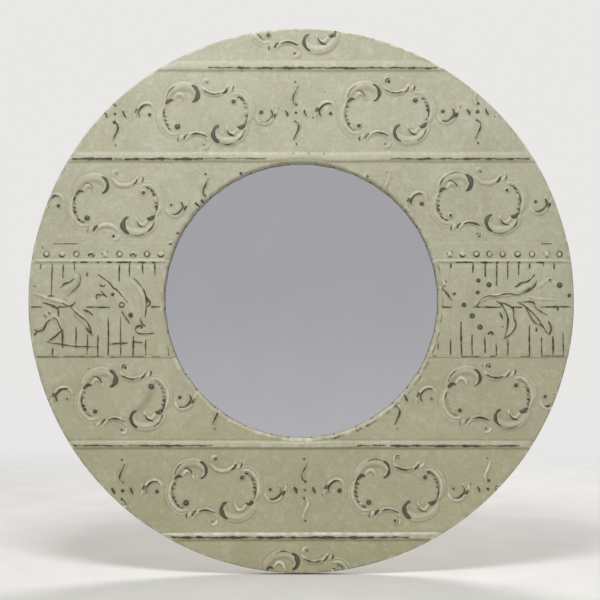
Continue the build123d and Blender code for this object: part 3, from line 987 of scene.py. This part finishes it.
# yellower towards the floor, with a slow drift over about 120 mm
height = add(tree, "MapRange", add(tree, "SeparateXYZ", place).outputs["Z"], -0.456, 0.456)
cream = add(tree, "ValToRGB", height,
            stops=[(0.0, "#B7B392"), (0.3, "#B9B69A"), (0.62, "#BAB8A0"), (1.0, "#B3B29D")])
drift = add(tree, "TexNoise", place, per(120), 3.0, 0.55)
drift = add(tree, "ValToRGB", drift, stops=[(0.32, "#F0F0EA"), (0.68, "#FFFFFF")])
cream = add(tree, "Mix", 1.0, cream, drift, data_type="RGBA", blend_type="MULTIPLY")
blotch = add(tree, "TexNoise", place, per(26), 4.0, 0.6, Distortion=0.4)  # patches of about 26 mm
flaw = add(tree, "MapRange", add(tree, "TexNoise", place, per(8), 3.0), 0.4, 0.65, 0.05, 0.55)
for share, tone in (  # pinkish where the primer shows, greenish where the oil has aged, stained by rust
        (add(tree, "MapRange", blotch, 0.56, 0.72, 0.0, 0.26), "#B8A48E"),
        (add(tree, "MapRange", blotch, 0.44, 0.28, 0.0, 0.24), "#989C77"),
        (add(tree, "Math", mark["stain"], flaw, operation="MULTIPLY"), "#AE9A84")):
    cream = add(tree, "Mix", share, cream, colour(tone), data_type="RGBA")
print("cream paint with", len(mark), "marks from the grid")

# %% Mottling, brush marks, painted highlights, grime and painted shade
mottle = add(tree, "TexNoise", place, per(4), 3.0, 0.65)  # fine mottling of about 4 mm
shade = add(tree, "ValToRGB", mottle, stops=[(0.3, 0.76), (0.7, 1.0)])
cream = add(tree, "Mix", 0.7, cream, shade, data_type="RGBA", blend_type="MULTIPLY")
brushed = add(tree, "TexNoise", place, per(11), 3.0, 0.6)
# painted glints: pale patches of about 14 mm along the folded edges
painted_glints = add(tree, "MapRange", add(tree, "TexNoise", place, per(14), 2.0), 0.5, 0.6, 0.0, 0.5)
folds = add(tree, "MapRange", mark["edge"], 0.5, 0.9)
# a painted highlight on raised places, stronger low down and broken into patches of about 9 mm
crest = add(tree, "MapRange", mark["low"], -0.15, -0.9)
crest = add(tree, "Math", crest, add(tree, "MapRange", height, 0.1, 0.9, 1.0, 0.15), operation="MULTIPLY")
highlight_breakup = add(tree, "MapRange", add(tree, "TexNoise", place, per(9), 2.0), 0.4, 0.62, 0.35, 1.0)
# brush-worn patches of about 11 mm, a darker olive on the folds and into the opening, painted glints
# of about 14 mm on the folds, a painted highlight on raised crests, stronger low down, and last
# grime and painted shade in the hollows and under the ridges
for share, tone in (
        (add(tree, "MapRange", brushed, 0.52, 0.7, 0.0, 0.38), "#C6C4B3"),
        (add(tree, "Math", mark["edge"], 0.3, operation="MULTIPLY"), "#9C9A80"),
        (add(tree, "Math", painted_glints, folds, operation="MULTIPLY"), "#C9C7B8"),
        (add(tree, "Math", crest, highlight_breakup, operation="MULTIPLY"), "#DAD8CB"),
        (add(tree, "MapRange", mark["low"], 0.08, 0.8, 0.0, 0.38), "#76734F")):
    cream = add(tree, "Mix", share, cream, colour(tone), data_type="RGBA")
print("the paint is done, and the wear comes next")

# %% Where the paint is gone
# how far inside a worn line each place is, in millimetres, its outline ragged in two sizes of noise
off = add(tree, "Math", mark["side"], operation="ABSOLUTE")
worn = add(tree, "Math", mark["half"], off, operation="SUBTRACT")
chips = add(tree, "TexNoise", place, per(2.4), 3.0, 0.7)
worn = add(tree, "Math", worn, add(tree, "MapRange", chips, 0.3, 0.7, -0.35, 0.35), operation="ADD")
bays = add(tree, "TexNoise", place, per(13), 1.0)
worn = add(tree, "Math", worn, add(tree, "MapRange", bays, 0.35, 0.65, -0.4, 0.3), operation="ADD")
bare = add(tree, "MapRange", worn, -0.05, 0.25)
# flecks of paint, under 2 mm across, are left in the pits of a worn place
flecks = add(tree, "TexNoise", place, per(1.8), 2.0, 0.7)
flecks = add(tree, "MapRange", flecks, 0.56, 0.66, 0.0, 0.75)
bare = add(tree, "MapRange", add(tree, "Math", bare, flecks, operation="SUBTRACT"), 0.0, 1.0)
# odd chips on the folded edges and small specks anywhere, up to about 3 mm
spots = add(tree, "Math", mark["edge"], 0.095, add(tree, "TexNoise", place, per(10), 5.0, 0.75),
            operation="MULTIPLY_ADD")
bare = add(tree, "Math", bare, add(tree, "MapRange", spots, 0.742, 0.762), operation="MAXIMUM")
print("a worn line is ragged by up to 0.75 mm")

# %% The halo, the metal and the brushed skin
# thin dirty paint, 1.8 mm wide, lies round the bare metal
halo = add(tree, "MapRange", worn, -1.8, 0.0, 0.0, 0.75)
cream = add(tree, "Mix", halo, cream, colour("#7F7B5E"), data_type="RGBA")
# the metal is darkest at the rim of a worn place and greyer where it is rubbed most
metal = add(tree, "ValToRGB", add(tree, "MapRange", worn, 0.0, 2.4),
            stops=[(0.0, "#3B3930"), (0.45, "#38362E"), (0.8, "#55534A"), (1.0, "#5F5D54")])
# the brushed skin of the paint, and the step down at a chip
skin = add(tree, "TexNoise", place, per(6.5), 5.0, 0.62)
bump = add(tree, "Bump", Strength=0.45, Distance=0.0007, Height=skin)
add(tree, "OutputMaterial", add(
    tree, "BsdfPrincipled",
    Base_Color=add(tree, "Mix", bare, cream, metal, data_type="RGBA"),
    Roughness=add(tree, "MapRange", mottle, 0.3, 0.7, 0.48, 0.62),
    Metallic=add(tree, "Math", bare, 0.35, operation="MULTIPLY"),
    Normal=add(tree, "Bump", invert=True, Strength=0.5, Distance=0.0004, Height=bare, Normal=bump)))
for piece, node in ((upper_piece, "tin_upper_sheet"), (lower_piece, "tin_lower_sheet"),
                    (left_piece, "tin_frieze_left"), (right_piece, "tin_frieze_right")):
    piece.data.materials.append(tin)
    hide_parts(node)
    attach(piece, "frame")
print("four sheets painted")

# %% [markdown]
# ## Glass
#
# A mirror is clear glass with silver behind it. What the eye gets is the room, a little grey.

# %% Silvered glass
made, tree, place = material("silvered_float_glass")
haze = add(tree, "TexNoise", place, per(70), 3.0)
add(tree, "OutputMaterial", add(
    tree, "BsdfPrincipled",
    Base_Color=add(tree, "ValToRGB", haze, stops=[(0.3, "#DCDCDF"), (0.7, "#DFDFE2")]),
    Metallic=1.0, Roughness=add(tree, "MapRange", haze, 0.3, 0.7, 0.015, 0.03)))
coat("mirror_glass", made)
print("the glass reflects about three quarters of the light")

# %% [markdown]
# ## Plywood and hardboard
#
# From behind, the frame is bare birch plywood, and a sheet of hardboard closes the mirror. Plywood
# has long soft flames on its faces, where the veneer was peeled round the log, and thin light and
# dark plies on its edges, so the same material looks at which way the surface faces. Hardboard is
# pressed fibre, and its rough side keeps the print of the wire screen it was pressed on.

# %% Birch plywood
plywood, tree, place = material("peeled_birch_plywood")
long_flames = add(tree, "Mapping", place, Scale=(per(330), per(80), per(24)))
flame = add(tree, "TexNoise", long_flames, 1.0, 4.0, 0.5, Distortion=0.8)
growth = add(tree, "Math", add(tree, "Math", flame, 14.0, operation="MULTIPLY"), operation="FRACT")
veneer = add(tree, "ValToRGB", growth, stops=[(0.0, "#C3A477"), (0.6, "#CFB38A"), (0.95, "#B5926A")])
# pores 16 mm long and 0.7 mm wide
pores = add(tree, "TexNoise", add(tree, "Mapping", place, Scale=(per(16), per(5), per(0.7))), 1.0, 2.0)
dark = add(tree, "ValToRGB", pores, stops=[(0.35, 0.72), (0.55, 1.0)])
veneer = add(tree, "Mix", 0.5, veneer, dark, data_type="RGBA", blend_type="MULTIPLY")
# plies 1.4 mm thick, light and dark in turn, seen on the edges
depth = add(tree, "SeparateXYZ", place).outputs["Y"]
ply = add(tree, "Math", add(tree, "Math", depth, 2.8 * MM, operation="DIVIDE"), operation="FRACT")
ply = add(tree, "ValToRGB", ply,
          stops=[(0.46, "#B99A6C"), (0.5, "#8A6A45"), (0.95, "#9B7B54"), (1.0, "#B99A6C")])
facing = add(tree, "SeparateXYZ", add(tree, "NewGeometry").outputs["True Normal"]).outputs["Y"]
on_face = add(tree, "MapRange", add(tree, "Math", facing, operation="ABSOLUTE"), 0.55, 0.65)
base = add(tree, "Mix", on_face, ply, veneer, data_type="RGBA")
# the rounded edge of the opening is painted near black as a painted shade, so that the slits
# between the tabs look dark and no pale wood shows there
slit_shade_to = 235.8  # millimetres from the middle
flat = add(tree, "VectorMath", place, (1.0, 0.0, 1.0), operation="MULTIPLY")
reach = add(tree, "VectorMath", flat, operation="LENGTH")
painted_slit_shade = add(tree, "MapRange", reach, slit_shade_to * MM, (slit_shade_to + 0.2) * MM, 1.0, 0.0)
add(tree, "OutputMaterial", add(
    tree, "BsdfPrincipled",
    Base_Color=add(tree, "Mix", painted_slit_shade, base, colour("#2E2C26"), data_type="RGBA"),
    Roughness=0.62, Normal=add(tree, "Bump", Strength=0.25, Distance=0.0004, Height=pores)))
coat("rear_ring", plywood)
print("plywood on the rear ring")

# %% A turned shape
def turned(name, profile, steps=40):
    """Spins a profile of radius and height, in millimetres, round the Y axis."""
    shape = bmesh.new()
    line = [shape.verts.new((r * MM, h * MM, 0)) for r, h in profile]
    edges = [shape.edges.new(pair) for pair in zip(line, line[1:])]
    bmesh.ops.spin(shape, geom=line + edges, cent=(0, 0, 0), axis=(0, 1, 0), angle=2 * math.pi,
                   steps=steps, use_merge=True)
    bmesh.ops.remove_doubles(shape, verts=shape.verts, dist=1e-6)
    bmesh.ops.recalc_face_normals(shape, faces=shape.faces)
    mesh = bpy.data.meshes.new(name)
    shape.to_mesh(mesh)
    shape.free()
    mesh.shade_smooth()
    return mesh


print("round pieces are turned in 40 steps, and large ones in more")

# %% The front ring, its opening rounded over for the tin
reaches = [math.hypot(v.co.x, v.co.z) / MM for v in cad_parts["ring_board"].data.vertices]
board_inner, board_outer = min(reaches), max(reaches)
across, deep = inner_bend - 0.8, inner_bend - tin_thickness  # the bend's radii under the tin
round_over = [(board_inner + across - across * math.cos(a), board_front + deep - deep * math.sin(a))
              for a in np.radians([0, 15, 30, 45, 60, 75, 90])]
board_mesh = turned("plywood_front_ring", [
    (board_inner, board_back), *round_over, (board_outer - 2, board_front), (board_outer, board_front + 2),
    (board_outer, board_back), (board_inner, board_back)], steps=240)
board_mesh.set_sharp_from_angle(angle=math.radians(35))
board_mesh.materials.append(plywood)
board_piece = put("plywood_front_ring", board_mesh)
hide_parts("ring_board")
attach(board_piece, "frame")
print("front ring from", round(board_inner, 1), "to", round(board_outer, 1), "mm")

# %% Hardboard
made, tree, place = material("pressed_hardboard_screen_side")
fibre = add(tree, "TexNoise", place, per(3), 5.0, 0.7, Distortion=1.2)
brown = add(tree, "ValToRGB", fibre, stops=[(0.3, "#5E412A"), (0.55, "#745338"), (0.75, "#8C6A4A")])
cloud = add(tree, "ValToRGB", add(tree, "TexNoise", place, per(80), 3.0), stops=[(0.35, 0.75), (0.65, 1.0)])
# the screen's wires were 1.6 mm apart; drawn 4 mm apart so that they still show
pitch = 2 * math.pi / 20 / (4 * MM)  # a wave texture of scale 1 has 20 radians to the metre
wires = [add(tree, "TexWave", place, pitch, 0.6, bands_direction=way).outputs["Fac"] for way in "XZ"]
screen = add(tree, "Math", *wires, operation="MULTIPLY")
add(tree, "OutputMaterial", add(
    tree, "BsdfPrincipled",
    Base_Color=add(tree, "Mix", 0.5, brown, cloud, data_type="RGBA", blend_type="MULTIPLY"),
    Roughness=0.7, Normal=add(tree, "Bump", Strength=0.5, Distance=0.0005, Height=screen)))
coat("mirror_backing", made)
print("hardboard behind the glass")

# %% [markdown]
# ## Steel fittings
#
# Clips, straps, rings and screws are mild steel with a thin bright coat of zinc, which is a little
# cloudy and dulls with handling. A sheared edge is never quite sharp, so a small bevel goes on the
# stamped pieces. The D-rings are bent from one smooth round wire, so they are drawn again as a
# tube along a curve, where the solid model has short straight lengths.

# %% Zinc-plated steel
steel, tree, place = material("zinc_plated_steel")
cloud = add(tree, "TexNoise", place, per(5.5), 4.0, 0.6)
dimples = add(tree, "TexNoise", place, per(1.1), 2.0)
add(tree, "OutputMaterial", add(
    tree, "BsdfPrincipled",
    Base_Color=add(tree, "ValToRGB", cloud, stops=[(0.3, "#A9A9A4"), (0.5, "#BFC0BC"), (0.7, "#CBC8BC")]),
    Metallic=1.0, Roughness=add(tree, "MapRange", cloud, 0.3, 0.7, 0.28, 0.46),
    Normal=add(tree, "Bump", Strength=0.15, Distance=0.0001, Height=dimples)))
stamped = [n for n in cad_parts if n.startswith(("mirror_clip", "hanger_strap"))]
for node in stamped:
    soften = coat(node, steel).modifiers.new("sheared_edge", "BEVEL")
    soften.width = 0.22 * MM
    soften.segments = 2
    soften.limit_method = "ANGLE"
    soften.angle_limit = math.radians(50)
print(len(stamped), "stamped pieces bevelled")

# %% D-rings as smooth wire
wire_radius = 1.5


def d_path():
    """The middle line of a D: a straight bar, two short legs and a smooth bow, in millimetres."""
    bow_rise, half_width, corner, leg_top = 10.46, 11.0, 3.0, 8.0
    bar_end = half_width - corner
    bar = [(a, 0.0) for a in np.linspace(-bar_end, bar_end, 9)]
    side = [(bar_end + corner * math.sin(t), corner - corner * math.cos(t))
            for t in np.radians([22, 45, 68])]
    side += [(half_width, z) for z in np.linspace(corner, leg_top, 4)]
    arch = np.radians(range(6, 180, 6))
    bow = [(half_width * math.cos(t), leg_top + bow_rise * math.sin(t)) for t in arch]
    return bar + side + bow + [(-a, b) for a, b in reversed(side)]


def d_ring(name, x, hinge_y, hinge_z):
    """A D of round wire, its straight bar on the hinge."""
    path = d_path()
    wire = bpy.data.curves.new(name, "CURVE")
    wire.dimensions = "3D"
    wire.bevel_depth = wire_radius * MM
    wire.bevel_resolution = 5
    run = wire.splines.new("POLY")
    run.points.add(len(path) - 1)
    for point, (a, b) in zip(run.points, path):
        point.co = (x + a * MM, hinge_y, hinge_z + b * MM, 1)
    run.use_cyclic_u = True
    bent = bpy.data.objects.new(name + "_curve", wire)
    mesh = bpy.data.meshes.new_from_object(bent)
    bpy.data.objects.remove(bent)
    mesh.name = name
    mesh.materials.clear()
    mesh.materials.append(steel)
    mesh.shade_smooth()
    return put(name, mesh)


for side in ("left", "right"):
    low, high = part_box("hanger_ring_" + side)
    hinge = ((low.x + high.x) / 2, (low.y + high.y) / 2, low.z + wire_radius * MM)
    ring_piece = d_ring("d_ring_wire_" + side, *hinge)
    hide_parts("hanger_ring_" + side)
    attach(ring_piece, "hanger_ring_" + side)
    print(ring_piece.name, "hinge at", [round(c / MM, 1) for c in hinge], "mm")

# %% [markdown]
# ## Screws and bumpers
#
# A pan-head screw is turned in the same way as the front ring, with a cross punched into it.
# One mesh is made and shared by all ten screws, each turned by its own angle, as no two stop alike.
# The rubber bumpers are moulded: slightly narrower at the wall, with a rounded rim.

# %% One pan-head screw with a cross punched in
blank = put("pan_head_blank", turned("pan_head", [
    (0, 0), (3.9, 0), (4.0, 0.25), (3.95, 0.9), (3.6, 1.5), (2.9, 1.95), (1.8, 2.2), (0, 2.25)]))
punch = bmesh.new()  # each arm of the cross is a wedge, narrower at its tip
for turn in (0, math.pi / 2):
    corners = []
    for h, long_half, wide_half in ((0.7, 0.7, 0.35), (2.6, 2.3, 0.55)):
        for u, v in ((-1, -1), (1, -1), (1, 1), (-1, 1)):
            a, b = u * long_half, v * wide_half
            corners.append(punch.verts.new(((a * math.cos(turn) - b * math.sin(turn)) * MM, h * MM,
                                            (a * math.sin(turn) + b * math.cos(turn)) * MM)))
    for ids in ((0, 1, 2, 3), (7, 6, 5, 4), (0, 4, 5, 1), (1, 5, 6, 2), (2, 6, 7, 3), (3, 7, 4, 0)):
        punch.faces.new([corners[n] for n in ids])
bmesh.ops.recalc_face_normals(punch, faces=punch.faces)
punch_mesh = bpy.data.meshes.new("punch")
punch.to_mesh(punch_mesh)
punch.free()
punch_tool = put("punch", punch_mesh)
cut = blank.modifiers.new("cross", "BOOLEAN")
cut.operation, cut.object, cut.solver, cut.use_self = "DIFFERENCE", punch_tool, "EXACT", True
bpy.context.view_layer.update()
screw_mesh = bpy.data.meshes.new_from_object(blank.evaluated_get(bpy.context.evaluated_depsgraph_get()))
screw_mesh.name = "pan_head_screw"
bpy.data.objects.remove(blank)
bpy.data.objects.remove(punch_tool)
screw_mesh.materials.clear()
screw_mesh.materials.append(steel)
screw_mesh.set_sharp_from_angle(angle=math.radians(35))
print("a screw head has", len(screw_mesh.polygons), "faces")

# %% Put the screws in
clip_circle = 253.8  # radius of the circle of clip screws, in millimetres
strap_holes = (11.5, 36.0)  # how far below the hinge


def drive_screw(name, x, seat_y, z, turn):
    """Sets one screw head on a surface that faces the wall."""
    piece = put(name, screw_mesh, (x, seat_y, z))
    piece.rotation_euler = (0, math.radians(turn), 0)
    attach(piece, "frame")


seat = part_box("mirror_clip_1")[1].y
for n in range(6):
    angle = math.radians(30 + 60 * n)
    drive_screw(f"clip_screw_{n + 1}", clip_circle * MM * math.cos(angle), seat,
                clip_circle * MM * math.sin(angle), 17 + 47 * n)
for side in ("left", "right"):
    low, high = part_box("hanger_ring_" + side)
    for n, down in enumerate(strap_holes):
        drive_screw(f"strap_screw_{side}_{n + 1}", (low.x + high.x) / 2, seat,
                    low.z + (wire_radius - down) * MM, 31 + 23 * n)
print("ten screws, seated at", round(seat / MM, 2), "mm")

# %% Rubber bumpers
# moulded rubber is nearly black, with a dull even sheen, and dust clings to its skin
made, tree, place = material("moulded_black_rubber")
dust = add(tree, "TexNoise", place, per(6), 4.0, 0.65)
add(tree, "OutputMaterial", add(
    tree, "BsdfPrincipled",
    Base_Color=add(tree, "ValToRGB", dust, stops=[(0.35, "#262524"), (0.6, "#312F2D"), (0.8, "#4A4742")]),
    Roughness=0.58, Normal=add(tree, "Bump", Strength=0.2, Distance=0.0003, Height=dust)))
for side in ("left", "right"):
    low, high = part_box("wall_bumper_" + side)
    pad = turned("rubber_bumper_" + side, [
        (0, 0), (9.9, 0), (10.0, 0.4), (9.2, 5.6), (8.9, 7.0), (8.3, 7.75), (7.4, 8.0), (5.2, 8.0),
        (4.2, 7.7), (0, 7.6)], steps=56)
    pad.materials.append(made)
    piece = put("rubber_bumper_" + side, pad, ((low.x + high.x) / 2, low.y, (low.z + high.z) / 2))
    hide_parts("wall_bumper_" + side)
    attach(piece, "frame")
print("two rubber bumpers, 8 mm high")
